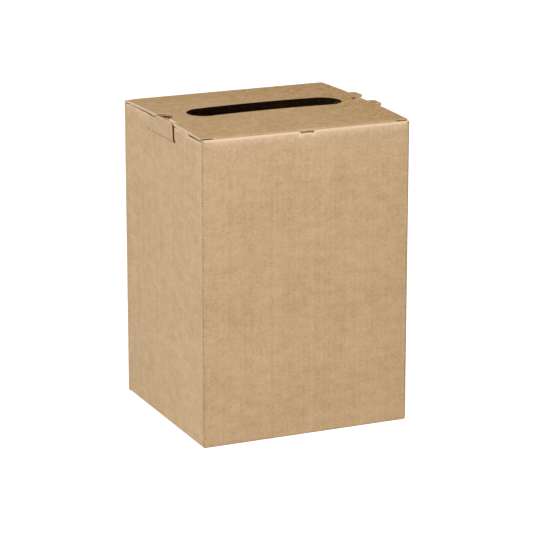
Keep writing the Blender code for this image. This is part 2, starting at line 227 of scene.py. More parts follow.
def addStudio(values):
    world = bpy.data.worlds.new("studioWorld")
    world.use_nodes = True
    world.node_tree.nodes.clear()
    sheet = NodeSheet(world.node_tree)
    seen = seenDirectly(sheet)
    strength = values["skyLight"] + seen * (1 - values["skyLight"])
    white = (1, 1, 1, 1)
    colour = sheet.mix(seen, values["skyColour"], white)
    sky = sheet.node("ShaderNodeBackground", {}, {"Color": colour, "Strength": strength})
    sheet.node("ShaderNodeOutputWorld", {}, [sky])
    bpy.context.scene.world = world

    material, sheet = newMaterial("paleFloor")
    pale = values["floorShade"]
    plain = sheet.node("ShaderNodeBsdfDiffuse", {}, {"Color": (pale, pale, pale, 1)})
    glow = sheet.node("ShaderNodeEmission", {}, {"Color": white, "Strength": values["floorGlow"]})
    lit = sheet.node("ShaderNodeAddShader", {}, [plain, glow])
    top = sheet.node("ShaderNodeMixShader", {}, [seenDirectly(sheet), plain, lit])
    clear = sheet.node("ShaderNodeBsdfTransparent")
    under = sheet.node("ShaderNodeNewGeometry", {}, None, 6)
    surface = sheet.node("ShaderNodeMixShader", {}, [under, top, clear])
    sheet.node("ShaderNodeOutputMaterial", {}, [surface])
    half = values["floorSize"] / 2
    mesh = bpy.data.meshes.new("floor")
    corners = [(-half, -half, 0), (half, -half, 0), (half, half, 0), (-half, half, 0)]
    mesh.from_pydata(corners, [], [(0, 1, 2, 3)])
    mesh.materials.append(material)
    floor = added("floor", mesh)

    for index, (*place, size, watts, colour) in enumerate(values["lamps"]):
        data = bpy.data.lights.new("softbox%d" % index, "AREA")
        data.size = size
        data.energy = watts
        data.color = colour
        aimed(data, values["lampAim"], *place)


addCamera(cameraSet)
addStudio(studio)
bpy.context.scene.view_settings.view_transform = "Standard"
print("camera, floor and lights are up")

# Kraft paper. The attribute "flat" is a point's place on the unfolded sheet:
# across the flutes, along the flutes, and through the board

# The attribute worn mixes in the light colour of wear and painted highlight where it is above nothing, and
# painted shade where it is below
kraft = {
    "outer": {"light": (213, 181, 143), "dark": (188, 154, 117), "worn": (242, 211, 180)},
    "inner": {"light": (178, 144, 106), "dark": (152, 119, 84), "worn": (206, 176, 139)},
    "edge": {"light": (216, 190, 152), "dark": (176, 142, 103), "worn": (230, 202, 169)},
    "fleck": (128, 96, 62),
    # Painted shade colours: brown for shallow shade, gap brown for gaps and creases, black inside the slot
    "soil": (170, 130, 58),
    "gap": (86, 46, 10),
    "black": (24, 14, 8),
    "fleckShare": 0.35,
    "brownShadeShare": 0.72,
    "gapShare": 0.97,
    "evenBrownShade": 0.05,         # painted shade where the patches don't show
    "wearAndLightingParts": (0.5, 0.75), # how much the noise and the wear and painted highlight make of a light patch
    "tickParts": (0.8, 0.25), # least of a painted shade mark, and how much the ticks add
    "flutingLeast": 0.2,
    "roughness": 0.84,
    "roughnessRange": 0.16,
    "gloss": 0.12,
    "fluteHeight": 0.000009,
    "fibreHeight": 0.000016,
    "cockleHeight": 0.00010,
}

# Noises of the paper: how many to the metre, detail, roughness, stretch and move
kraftNoises = {
    "clouds": (16, 2, 0.5),
    "blotches": (85, 3, 0.6, (0.7, 1.2, 1)),
    "grain": (420, 3, 0.7, (0.8, 1, 1)),
    "fibres": (1300, 2, 0.6, (0.4, 1.2, 1), (0.3, 0.1, 0)),
    "streaks": (480, 2, 0.6, (1, 0.11, 1), (0.6, 0.3, 0)),
    "rollLines": (210, 2, 0.5, (0.012, 1, 0.012)),
    "grainLines": (190, 2, 0.5, (1, 0.010, 0.010), (0.1, 0, 0)),
    "fluting": (30, 1, 0.5, (1, 0.25, 1), (0.2, 0.4, 0)),
    "flecks": (900, 1, 0.5, (0.30, 1.2, 1), (0.7, 0.2, 0)),
    "wear": (260, 2, 0.5),
    "shadePatches": (210, 3, 0.65, (1, 0.8, 1), (0.4, 0.6, 0)),
    "ticks": (700, 1, 0.5, (0.10, 1, 0.1), (0.5, 0.2, 0)),
}

# How much of the range from the dark to the light shade each of them takes
toneShares = {
    "clouds": 0.5, "blotches": 1.15, "grain": 1.6, "fibres": 0.8,
    "streaks": 0.45, "rollLines": 0.12, "grainLines": 0.5,
}
fluteShare = 0.035

# Where a noise, or the wear and painted light or its negative, the painted shade, starts to show and where
# it shows in full
kraftSteps = {
    "flecks": (0.70, 0.78),
    "wear": (0.40, 0.95),
    "shadePatches": (0.42, 0.62),
    "ticks": (0.46, 0.66),
    "soil": (0, 0.14),
    "brownShadeEnd": (0.13, 0.18),
    "gap": (0.10, 0.60),
    "black": (0.82, 0.95),
}


def kraftPaper(name, shades, fluted):
    material, sheet = newMaterial(name)
    flat = sheet.node("ShaderNodeAttribute", {"attribute_name": "flat"}, None, 1)
    worn = sheet.node("ShaderNodeAttribute", {"attribute_name": "worn"}, None, 2)
    low = worn * -1

    def noise(layer):
        return sheet.noise(flat, *kraftNoises[layer])

    def shown(value, step):
        return sheet.between(value, *kraftSteps[step])

    layers = {layer: noise(layer) - 0.5 for layer in toneShares}
    tone = 0.5 + sum(layers[layer] * share for layer, share in toneShares.items())
    height = layers["grain"] * (2 * kraft["fibreHeight"]) + layers["fibres"] * kraft["fibreHeight"]
    height = height + layers["clouds"] * kraft["cockleHeight"]
    if fluted:
        across = sheet.node("ShaderNodeSeparateXYZ", {}, [flat], 0)
        ridge = sheet.sine(across * (2 * pi / board["pitch"])) * (noise("fluting") + kraft["flutingLeast"])
        tone = tone + ridge * fluteShare
        height = height + ridge * kraft["fluteHeight"]

    colour = sheet.mix(tone, shade(*shades["dark"]), shade(*shades["light"]))
    flecks = shown(noise("flecks"), "flecks")
    colour = sheet.mix(flecks * kraft["fleckShare"], colour, shade(*kraft["fleck"]))
    uneven, even = kraft["wearAndLightingParts"]
    # Light patches of wear and painted highlight
    patchy = shown(noise("wear") * uneven + worn * even, "wear")
    colour = sheet.mix(patchy * worn, colour, shade(*shades["worn"]))
    # Painted shade, brown in patches, where the attribute is a little below nothing
    soil = shown(low, "soil") * (1 - shown(low, "brownShadeEnd"))
    soil = soil * (kraft["evenBrownShade"] + shown(noise("shadePatches"), "shadePatches"))
    colour = sheet.mix(soil * kraft["brownShadeShare"], colour, shade(*kraft["soil"]))
    # Painted shade in gaps, creases and cut hollows, in dashes, and black inside the slot
    least, more = kraft["tickParts"]
    dark = shown(low * (least + shown(noise("ticks"), "ticks") * more), "gap")
    colour = sheet.mix(dark * kraft["gapShare"], colour, shade(*kraft["gap"]))
    colour = sheet.mix(shown(low, "black"), colour, shade(*kraft["black"]))
    surface = sheet.node("ShaderNodeBsdfPrincipled", {}, {
        "Base Color": colour,
        "Roughness": kraft["roughness"] + layers["blotches"] * kraft["roughnessRange"],
        "Normal": sheet.node("ShaderNodeBump", {}, {"Strength": 1, "Distance": 1, "Height": height}),
        "Specular IOR Level": kraft["gloss"],
    })
    sheet.node("ShaderNodeOutputMaterial", {}, [surface])
    return material


outerPaper = kraftPaper("kraftOuterLiner", kraft["outer"], True)
innerPaper = kraftPaper("kraftInnerLiner", kraft["inner"], True)
cutPaper = kraftPaper("kraftCutEdge", kraft["edge"], False)
papers = (outerPaper, innerPaper, cutPaper)
print("kraft papers are mixed")

# Outlines. A point is (across the flutes, along the flutes, word), where the word is the kind of
# the edge from this point to the next one. Outer loops run counterclockwise and openings
# clockwise, so that the board is always on the left.


def mixed(inner, outer, share):
    return [low + (high - low) * share for low, high in zip(inner, outer)]


def evenly(low, high, count):
    return [low + (high - low) * index / count for index in range(count + 1)]


def spread(low, high, step):
    return evenly(low, high, max(1, round((high - low) / step)))


def grid(columns, rows):
    return [(across, along) for across in columns for along in rows]


def neighbours(loop):
    # Every point, with the one before it and the one after it
    return zip(loop[-1:] + loop[:-1], loop, loop[1:] + loop[:1])


def roundedOutline(corners, steps=6):
    # Corners are points, and those to be rounded have a radius after the word
    outline = []
    for before, (across, along, word, *rounded), after in neighbours(corners):
        if not rounded:
            outline.append((across, along, word))
            continue
        radius = rounded[0]
        corner = Vector((across, along))
        back = (Vector(before[:2]) - corner).normalized()
        onward = (Vector(after[:2]) - corner).normalized()
        halfAngle = back.angle(onward) / 2
        centre = corner + (back + onward).normalized() * (radius / sin(halfAngle))
        start = corner + back * (radius / tan(halfAngle)) - centre
        end = corner + onward * (radius / tan(halfAngle)) - centre
        sweep = start.angle_signed(end)
        for step in range(steps + 1):
            spoke = centre + Matrix.Rotation(-sweep * step / steps, 2) @ start
            outline.append((spoke.x, spoke.y, word))
    return outline


def arcPoints(centre, radius, first, last, steps, word):
    return [(centre[0] + radius * cos(angle), centre[1] + radius * sin(angle), word)
            for angle in evenly(first, last, steps)]


def divided(loop, longest):
    # Adds points so that no edge is longer than the length given
    result = []
    for _, here, after in neighbours(loop):
        count = max(1, int(hypot(after[0] - here[0], after[1] - here[1]) / longest + 0.999))
        result += [(*mixed(here[:2], after[:2], step / count), here[2]) for step in range(count)]
    return result


def backwards(points, first=None):
    # The points in reverse; the words belong to the edge that leaves a point, so they shift by one
    words = [first or points[-1][2]] + [point[2] for point in points[:-1]]
    return [(across, along, word) for (across, along, _), word in zip(points, words)][::-1]


def swapped(loop):
    # The mirror image of a loop in its first coordinate, still with the board on its left
    return [(-across, along, word) for across, along, word in backwards(loop)]


def drawnIn(loop, depth):
    # Moves the edges of a loop into the board by the depth, or by what their kinds allow of it
    moved = []
    for before, here, after in neighbours(loop):
        runIn = Vector((here[0] - before[0], here[1] - before[1])).normalized()
        runOut = Vector((after[0] - here[0], after[1] - here[1])).normalized()
        sideIn = Vector((-runIn.y, runIn.x))
        sideOut = Vector((-runOut.y, runOut.x))
        depthIn = depth(edgeKinds[before[2]]["hollow"])
        depthOut = depth(edgeKinds[here[2]]["hollow"])
        twist = sideIn.cross(sideOut)
        if abs(twist) < 0.1:
            shift = (sideIn + sideOut) * (depthIn + depthOut) / 4
        else:
            shift = Vector((depthIn * sideOut.y - depthOut * sideIn.y,
                            depthOut * sideIn.x - depthIn * sideOut.x)) / twist
        moved.append((here[0] + shift.x, here[1] + shift.y))
    return moved


def matched(loop, columns, rows):
    # Divides the edges that run straight across or along where the columns and rows meet them
    result = []
    for _, here, after in neighbours(loop):
        result.append(here)
        for axis, values in ((0, rows), (1, columns)):
            if abs(here[axis] - after[axis]) > 1e-9:
                continue
            low, high = sorted((here[1 - axis], after[1 - axis]))
            margin = board["foldMargin"] if here[2] == "fold" else board["edgeMargin"]
            between = {value for value in values if low + margin < value < high - margin}
            for value in sorted(between, reverse=here[1 - axis] > after[1 - axis]):
                result.append((here[0], value, here[2]) if axis == 0 else (value, here[1], here[2]))
    return result


# Panels


def edgesOf(loop):
    start = np.array([point[:2] for point in loop], float)
    return zip(start, np.roll(start, -1, axis=0))


def crossings(loops, points):
    # True for each point that lies inside the loops
    inside = np.zeros(len(points), bool)
    for loop in loops:
        for (ax, ay), (bx, by) in edgesOf(loop):
            if ay == by:
                continue
            spans = (points[:, 1] > min(ay, by)) & (points[:, 1] <= max(ay, by))
            meets = ax + (points[:, 1] - ay) * (bx - ax) / (by - ay)
            inside ^= spans & (meets > points[:, 0])
    return inside


def clearSpots(loops, spots, clearance):
    # Keeps the spots that are inside the loops and not too near an edge
    points = np.array(spots, float)
    if not len(points):
        return []
    keep = crossings(loops, points)
    for loop in loops:
        for a, b in edgesOf(loop):
            run = b - a
            share = np.clip(((points - a) @ run) / max(run @ run, 1e-12), 0, 1)
            gap = points - a - share[:, None] * run
            keep &= (gap ** 2).sum(1) > clearance ** 2
    return [tuple(point) for point in points[keep]]


def fillPlan(loops, spots):
    # Triangles between the loops that use every spot; indices count the loops' points first
    points = [Vector(point[:2]) * 1000 for loop in loops for point in loop]
    points += [Vector(spot) * 1000 for spot in spots]
    edges = []
    start = 0
    for loop in loops:
        count = len(loop)
        edges += [(start + index, start + (index + 1) % count) for index in range(count)]
        start += count
    corners, _, faces, origins, _, _ = delaunay_2d_cdt(points, edges, [], 0, 1e-5)
    faces = [(a, b, c) for a, b, c in faces
             if abs((corners[b] - corners[a]).cross(corners[c] - corners[a])) > 1e-4]
    middles = [[sum(corners[c][axis] for c in face) / 3000 for axis in (0, 1)] for face in faces]
    inside = crossings(loops, np.array(middles))
    return [[origins[c][0] for c in face] for face, kept in zip(faces, inside) if kept]


def pieceOf(name, shape, slots):
    mesh = bpy.data.meshes.new(name)
    shape.to_mesh(mesh)
    shape.free()
    for paper in slots:
        mesh.materials.append(paper)
    print(name, "has", len(mesh.polygons), "faces")
    return added(name, mesh)


class Panel:
    def __init__(self, place, wear=None):
        self.mesh = bmesh.new()
        self.flat = self.mesh.verts.layers.float_vector.new("flat")
        self.worn = self.mesh.verts.layers.float.new("worn")
        self.place = place
        self.wear = wear or (lambda across, along: 0)

    def vertex(self, across, along, level, rim=None):
        made = self.mesh.verts.new(self.place(across, along, level))
        made[self.flat] = (across, along, level)
        # Wear and painted light of the panel, or the edge's own painted highlight or painted shade where
        # that is stronger
        wear = self.wear(across, along)
        made[self.worn] = wear if rim is None else min(rim, wear) if rim < 0 else max(rim, wear)
        return made

    def face(self, corners, paper):
        kept = [corner for index, corner in enumerate(corners) if corner is not corners[index - 1]]
        if len(set(kept)) < 3 or len(set(kept)) != len(kept):
            return
        self.mesh.faces.new(kept).material_index = paper

    def rimRows(self, loop):
        # Eight rows round a loop, from the inner face over the open cut edge to the outer face
        thick = board["thick"]
        liner = board["liner"]
        pressed = board["pressed"]
        shoulder = drawnIn(loop, lambda hollow: board["shoulder"] if hollow else 0)
        hollow = drawnIn(loop, lambda hollow: hollow)
        rows = [[] for _ in range(8)]
        for index, (here, near, deep) in enumerate(zip(loop, shoulder, hollow)):
            word = here[2] if here[2] != "fold" else loop[index - 1][2]
            if word == "fold":
                single = [self.vertex(*here[:2], level) for level in (0, liner, thick - liner, thick)]
                corners = [corner for corner in single for _ in range(2)]
            else:
                rim, back = edgeKinds[word]["rim"], edgeKinds[word]["deep"]
                corners = [self.vertex(*spot[:2], *rest) for spot, *rest in (
                    (near, 0), (here, pressed, rim), (here, liner + pressed, rim),
                    (deep, liner, back), (deep, thick - liner, back),
                    (here, thick - liner - pressed, rim), (here, thick - pressed, rim), (near, thick))]
            for row, corner in zip(rows, corners):
                row.append(corner)
        return rows, [(*point, source[2]) for point, source in zip(shoulder, loop)]

    def build(self, loops, spots=(), clearance=0.0003):
        lowRing, highRing, inner = [], [], []
        for loop in loops:
            rows, shoulder = self.rimRows(loop)
            inner.append(shoulder)
            lowRing += rows[0]
            highRing += rows[7]
            for index, here in enumerate(loop):
                after = (index + 1) % len(loop)
                if here[2] == "fold":
                    nearEnd = [row[index] for row in rows]
                    farEnd = [row[after] for row in reversed(rows)]
                    self.face(nearEnd + farEnd, 1)
                    continue
                for level in range(7):
                    paper = 0 if level == 6 else 1 if level == 0 else 2
                    low, high = rows[level], rows[level + 1]
                    self.face([low[index], low[after], high[after], high[index]], paper)
        spots = clearSpots(inner, spots, clearance)
        lowRing += [self.vertex(spot[0], spot[1], 0) for spot in spots]
        highRing += [self.vertex(spot[0], spot[1], board["thick"]) for spot in spots]
        for triangle in fillPlan(inner, spots):
            self.face([lowRing[corner] for corner in reversed(triangle)], 1)
            self.face([highRing[corner] for corner in triangle], 0)
        return self

    def finish(self, name, body, nodes):
        bmesh.ops.remove_doubles(self.mesh, verts=self.mesh.verts, dist=0.000002)
        bmesh.ops.dissolve_degenerate(self.mesh, edges=self.mesh.edges, dist=0.000001)
        bmesh.ops.recalc_face_normals(self.mesh, faces=self.mesh.faces)
        piece = pieceOf(name, self.mesh, papers)
        piece.data.shade_smooth()
        piece.data.set_sharp_from_angle(angle=radians(board["sharpFrom"]))
        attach(piece, body)
        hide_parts(*nodes)


# Fluted paper in the cut edges, by Geometry Nodes. The tree works on the unfolded sheet: it
# takes lines along the cut edges, lifts them by the flutes' wave, and gives them depth.

flutes = {
    "noise": 70,            # of the unevenness, to the metre
    "uneven": 0.10,         # how far the waves stray, in waves
    "fill": 0.86,           # how much of the room between the liners they take
    "heights": (0.85, 0.3), # least height of a wave, and how much the noise adds
}


def fluteTree():
    tree = bpy.data.node_groups.new("fluteStrip", "GeometryNodeTree")
    tree.is_modifier = True
    lengths = ("Pitch", "Height", "Depth", "Paper Thickness", "Step", "Uneven")
    kinds = {"Geometry": "Geometry", **dict.fromkeys(lengths, "Float"), "Material": "Material"}
    for name, kind in kinds.items():
        tree.interface.new_socket(name, in_out="INPUT", socket_type="NodeSocket" + kind)
    tree.interface.new_socket("Geometry", in_out="OUTPUT", socket_type="NodeSocketGeometry")
    sheet = NodeSheet(tree)
    source = tree.nodes.new("NodeGroupInput")
    given = {socket.name: Wire(sheet, socket) for socket in source.outputs if socket.name}
    lines = sheet.node("GeometryNodeMeshToCurve", {}, [given["Geometry"]])
    lines = sheet.node("GeometryNodeResampleCurve", {"mode": "LENGTH"},
                       {"Curve": lines, "Length": given["Step"]})
    place = sheet.node("GeometryNodeInputPosition")
    across = sheet.node("ShaderNodeSeparateXYZ", {}, [place], 0)
    uneven = sheet.node("ShaderNodeTexNoise", {}, {"Vector": place, "Scale": flutes["noise"], "Detail": 1})
    phase = across / given["Pitch"] + (uneven - 0.5) * given["Uneven"]
    least, more = flutes["heights"]
    lift = sheet.sine(phase * (2 * pi)) * given["Height"] * (least + uneven * more)
    offset = sheet.node("ShaderNodeCombineXYZ", {}, {"Z": lift})
    lines = sheet.node("GeometryNodeSetPosition", {}, {"Geometry": lines, "Offset": offset})
    lines = sheet.node("GeometryNodeSetCurveNormal", {"mode": "Z_UP"}, {"Curve": lines})
    profile = sheet.node("GeometryNodeCurvePrimitiveQuadrilateral", {},
                         {"Width": given["Depth"], "Height": given["Paper Thickness"]})
    back = sheet.node("ShaderNodeCombineXYZ", {}, {"X": given["Depth"] * -0.5})
    profile = sheet.node("GeometryNodeTransform", {}, {"Geometry": profile, "Translation": back})
    strip = sheet.node("GeometryNodeCurveToMesh", {},
                       {"Curve": lines, "Profile Curve": profile, "Fill Caps": True})
    strip = sheet.node("GeometryNodeRealizeInstances", {}, [strip])
    strip = sheet.node("GeometryNodeSetMaterial", {},
                       {"Geometry": strip, "Material": given["Material"]})
    sheet.node("NodeGroupOutput", {}, [strip])
    return tree


fluteStrip = fluteTree()


def flutedEdges(loops):
    # The strips of one panel, still on the unfolded sheet
    points, edges = [], []
    for loop in loops:
        inset = drawnIn(loop, lambda hollow: min(hollow, board["mediumBack"]))
        inset = [(*spot, board["thick"] / 2) for spot in inset]
        joined = False
        for here, start, end in zip(loop, inset, inset[1:] + inset[:1]):
            fluted = edgeKinds[here[2]]["fluted"]
            if fluted:
                points += [end] if joined else [start, end]
                edges.append((len(points) - 2, len(points) - 1))
            joined = fluted
    mesh = bpy.data.meshes.new("edgeLines")
    mesh.from_pydata(points, edges, [])
    lines = added("edgeLines", mesh)
    modifier = lines.modifiers.new("fluteStrip", "NODES")
    modifier.node_group = fluteStrip
    room = board["thick"] - 2 * board["liner"] - board["medium"]
    inputs = {
        "Pitch": board["pitch"],
        "Height": room / 2 * flutes["fill"],
        "Depth": board["hollow"] - board["mediumBack"],
        "Paper Thickness": board["medium"],
        "Step": board["step"],
        "Uneven": flutes["uneven"],
        "Material": cutPaper,
    }
    for socket in fluteStrip.interface.items_tree:
        if socket.in_out == "INPUT" and socket.name in inputs:
            modifier[socket.identifier] = inputs[socket.name]
    graph = bpy.context.evaluated_depsgraph_get()
    strips = bpy.data.meshes.new_from_object(lines.evaluated_get(graph))
    bpy.data.objects.remove(lines)
    return strips


def addFlutes(name, body, panels):
    # Panels are (loops, place) pairs, and their strips become one piece
    joined = bmesh.new()
    for loops, place in panels:
        strips = flutedEdges(loops)
        single = bmesh.new()
        single.from_mesh(strips)
        flat = single.verts.layers.float_vector.new("flat")
        single.verts.layers.float.new("worn")
        for vertex in single.verts:
            vertex[flat] = vertex.co
            vertex.co = place(*vertex.co)
        if single.calc_volume(signed=True) < 0:
            bmesh.ops.reverse_faces(single, faces=single.faces)
        single.to_mesh(strips)
        single.free()
        joined.from_mesh(strips)
        bpy.data.meshes.remove(strips)
    piece = pieceOf(name, joined, [cutPaper])
    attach(piece, body)


def foldOver(start, way, past):
    # Where a fold bends the board to, past its start: (place, drop) of its outer and inner face
    thick = board["thick"]
    radius = box["fold"]
    turn = min(max(past, 0) / radius, pi / 2)
    onward = radius * sin(turn) + min(past, 0)
    drop = radius * (1 - cos(turn)) + max(0, past - radius * pi / 2)
    return (start + way * onward, drop), (start + way * min(onward, radius - thick), max(thick, drop))


def easedStep(value, low, high):
    share = min(1, max(0, (value - low) / (high - low)))
    return share * share * (3 - 2 * share)


def bell(distance, strong, wide):
    return strong * exp(-(distance / wide) ** 2)


# Rows of points over a fold, measured from its start
foldBend = evenly(0, box["fold"] * pi / 2, 8)

# Walls and glue flap: one sheet from the cut end of the back wall round to the glue flap

walls = {
    "foldSteps": 8,
    "gluedFold": 0.0008,      # the fold at the glued corner is tighter
    "topFlap": 0.0044,        # how far the side walls reach over their top fold
    "dustFolds": (-0.072, 0.106),         # the dust flaps' folds end here, front and back
    "window": (-0.036, 0.0403, 0.3299),   # opening of the lock tab: front, back, foot
    "notch": (0.0095, 0.0072, 0.0026),    # thumb notch: half length at the top and the foot, depth
    "besideNotch": (0.004, 0.0118, 0.0145, 0.019),   # further columns of points on each side of it
    "notchEnd": 0.0007,       # the edge beside the notch is pressed shut to here
    "flapNotch": 0.004,       # the glue flap's fold starts this much outside the flap's ends
    "rows": (0.004, 0.0065, *spread(0.016, 0.318, 0.022),    # heights of points on the faces
             0.3275, 0.3283, 0.3289, 0.3294, 0.3360, 0.3400),
    "glueFlap": (0.0139, 0.3360, 0.012, 0.0321),  # foot, top, taper, width
    "score": (0.0010, 0.0013),       # depth and width of the crease at the foot of a lock tab
    "lift": 0.0017,           # the folds stand this much higher between the tabs and the slits
    "liftSpan": (0.330, 0.3454),
    "rimHighlight": (0.5, 0.4, 0.0015),   # painted highlight: how strong in the notch, how much more beside it, how wide
    "topHighlight": (0.34, 0.008),        # painted highlight: how strong and how wide, as in the next ones
    # Painted highlight beside the folds between the walls near the top, and a painted shade line on them
    "foldHighlight": (0.34, 0.0032),
    "foldHighlightSpan": (0.20, 0.33),
    "foldShade": (0.38, 0.0017),
    "shadeCover": 8,          # the painted shade hides this many times its own strength of the painted highlight
    "upperLight": 0.24,        # painted light: the upper half is painted lighter, the front most
    "upperSpan": (0.15, 0.33),
    "frontLight": 0.15,
    "frontFade": (0.110, 0.125),     # from the middle of the front
    "besideFold": (0.0015, 0.004),   # columns of points on each side of a fold
    "spacing": (0.012, 0.022),       # from a fold to the first of the others, and between them
    "clearance": 0.00022,
}


def wallCorners():
    side, depth = box["halfWidth"], box["halfDepth"]
    flapFace = depth - board["thick"] - box["gap"]
    return [(-side, depth), (side, depth), (side, -depth), (-side, -depth), (-side, flapFace),
            (-side + board["thick"] + walls["glueFlap"][3], flapFace)]


def wallPath():
    # Straight stretches and turns of the outer face in plan, with where each begins on the sheet
    corners = [Vector(corner) for corner in wallCorners()]
    radii = [0, box["fold"], box["fold"], box["fold"], walls["gluedFold"], 0]
    path = []
    along = 0
    for index, (before, after) in enumerate(zip(corners, corners[1:])):
        run = (after - before).normalized()
        inward = Vector((run.y, -run.x))
        start = before + run * radii[index]
        radius = radii[index + 1]
        end = after - run * radius
        further = along + (end - start).length
        path.append({"kind": "wall", "from": along, "to": further, "start": start,
                     "run": run, "inward": inward, "number": index})
        along = further
        if radius:
            further = along + radius * pi / 2
            path.append({"kind": "turn", "from": along, "to": further, "radius": radius,
                         "centre": end + inward * radius, "outward": -inward, "run": run,
                         "inner": after + (inward - run) * board["thick"], "number": index})
            along = further
    return path


sheetPath = wallPath()
sheetParts = {(part["kind"], part["number"]): part for part in sheetPath}
sideFolds = {0: box["height"], 1: box["sideTop"], 3: box["sideTop"]}


def placeWall(across, along, level):
    for part in sheetPath:
        if across <= part["to"]:
            break
    radius = box["fold"]
    top = sideFolds.get(part["number"]) if part["kind"] == "wall" else None
    if along < radius:
        outer, inner = foldOver(radius, -1, radius - along)
    elif top and along > top - 2 * radius:
        outer, inner = foldOver(top - radius, 1, along - top + radius)
    else:
        outer, inner = (along, 0), (along, board["thick"])
    share = level / board["thick"]
    height, drop = mixed(inner, outer, share)
    if part["kind"] == "wall":
        base = part["start"] + part["run"] * (across - part["from"])
        lifted = walls["dustFolds"][0] - 0.0001 < base.y < walls["window"][0] + 0.0001
        if part["number"] in (1, 3) and lifted:
            height += walls["lift"] * easedStep(along, *walls["liftSpan"])
        plan = base + part["inward"] * (drop + scoreDent(part, base, along) * share)
    else:
        angle = (across - part["from"]) / part["radius"]
        spoke = part["outward"] * cos(angle) + part["run"] * sin(angle)
        outerPlan = part["centre"] + spoke * (part["radius"] - min(outer[1], part["radius"]))
        plan = part["inner"] + (outerPlan - part["inner"]) * share
    return (plan.x, plan.y, height)


def scoreDent(part, base, along):
    # The crease at the foot of a lock tab is pressed into the side wall
    front, back, foot = walls["window"]
    if part["number"] not in (1, 3) or not front - 0.001 < base.y < back + 0.001:
        return 0
    return bell(along - foot, *walls["score"])


def wallWearAndShading(across, along):
    # Painted light on the walls: a painted highlight along the front's top edge and round the notch, the
    # upper half painted lighter, the front most, and painted shade lines on the folds between the walls
    # with painted highlights beside them near the top; the glued corner has no such fold to show
    halfTop, halfFoot, deep = walls["notch"]
    offset = abs(across - notchMiddle)
    away = easedStep(offset, halfFoot, halfTop)
    edge = box["frontTop"] - deep * (1 - away)
    least, more, wide = walls["rimHighlight"]
    mark = bell(along - edge, least + more * away, wide)
    mark += bell(along - box["frontTop"], *walls["topHighlight"])
    front = 1 - easedStep(offset, *walls["frontFade"])
    mark += (walls["upperLight"] + walls["frontLight"] * front) * easedStep(along, *walls["upperSpan"])
    low = 0
    high = easedStep(along, *walls["foldHighlightSpan"])
    for number in range(3):
        turn = sheetParts["turn", number]
        away = across - (turn["from"] + turn["to"]) / 2
        mark = max(mark, high * bell(away, *walls["foldHighlight"]))
        low = max(low, bell(away, *walls["foldShade"]))
    return mark * (1 - min(1, low * walls["shadeCover"])) - low


def acrossAt(number, position):
    # Where a point of a wall, given by its x or y, is on the unfolded sheet
    part = sheetParts["wall", number]
    axis = 0 if abs(part["run"].x) > 0.5 else 1
    return part["from"] + (position - part["start"][axis]) * part["run"][axis]


notchMiddle = acrossAt(2, 0)


def sideWallTop(number):
    # Top edge of a side wall from its low end on the sheet to its high end, as loop points
    front, back, foot = walls["window"]
    raw = box["sideTop"]
    over = raw - box["fold"] + walls["topFlap"]
    first, last = sorted(acrossAt(number, y) for y in walls["dustFolds"])
    low, high = sorted(acrossAt(number, y) for y in (front, back))
    end = sheetParts["wall", number]["to"]
    return [(first, raw, "shut"), (first, over, "fold"), (low, over, "slit"), (low, foot, "fold"),
            (high, foot, "slit"), (high, over, "fold"), (last, over, "shut"), (last, raw, "raw"),
            (end, raw, "raw")]


def notchedTop():
    # Raw top edge of the front wall with the thumb notch
    halfTop, halfFoot, deep = walls["notch"]
    front = box["frontTop"]
    outside = halfTop + walls["notchEnd"]
    leading, ending = (turnStations(sheetParts["turn", number]) for number in (1, 2))
    notch = ((-outside, 0, "shut"), (-halfTop, 0, "slit"), (-halfFoot, deep, "shut"),
             (halfFoot, deep, "slit"), (halfTop, 0, "shut"), (outside, 0, "shut"))
    return ([(across, front, "shut") for across in leading[:1] + leading[3:]]
            + [(notchMiddle + offset, front - drop, word) for offset, drop, word in notch]
            + [(across, front, "shut") for across in ending[:-3] + ending[-1:]])


def wallLoop():
    radius = box["fold"]
    low = radius - radius * pi / 2
    end = sheetPath[-1]["to"]
    flapLow, flapHigh, taper, _ = walls["glueFlap"]
    stations = sorted({0.0, *[s for part in sheetPath[:-1] for s in partStations(part)]})
    corner, *cornerStations = turnStations(sheetParts["turn", 3])
    foot = [(across, low, "fold") for across in stations if across < corner - 1e-6]
    flap = [(corner, low), (corner, flapLow - walls["flapNotch"])]
    flap += [(across, flapLow) for across in cornerStations]
    flap += [(end, flapLow + taper), (end, flapHigh - taper)]
    flap += [(across, flapHigh) for across in reversed(cornerStations)]
    flap.append((corner, flapHigh + walls["flapNotch"]))
    backEnd = box["height"] - radius + radius * pi / 4
    raw = box["sideTop"]
    rising = [(0, backEnd, "fold"), (sheetParts["wall", 0]["to"], backEnd, "cut")]
    rising += [(across, raw, "cut") for across in turnStations(sheetParts["turn", 0])[1:]]
    rising += sideWallTop(1)[:-1] + [(sheetParts["turn", 1]["from"], raw, "shut")] + notchedTop()
    rising += [(sheetParts["turn", 2]["to"], raw, "raw")] + sideWallTop(3)
    return foot + [(*point, "cut") for point in flap] + backwards(rising, "shut")


def turnStations(part):
    return evenly(part["from"], part["to"], walls["foldSteps"])


def partStations(part):
    if part["kind"] == "turn":
        return turnStations(part)
    low, high = part["from"], part["to"]
    first, step = walls["spacing"]
    near, further = walls["besideFold"]
    middle = spread(low + first, high - first, step)
    return [low, low + near, low + further, *middle, high - further, high - near, high]


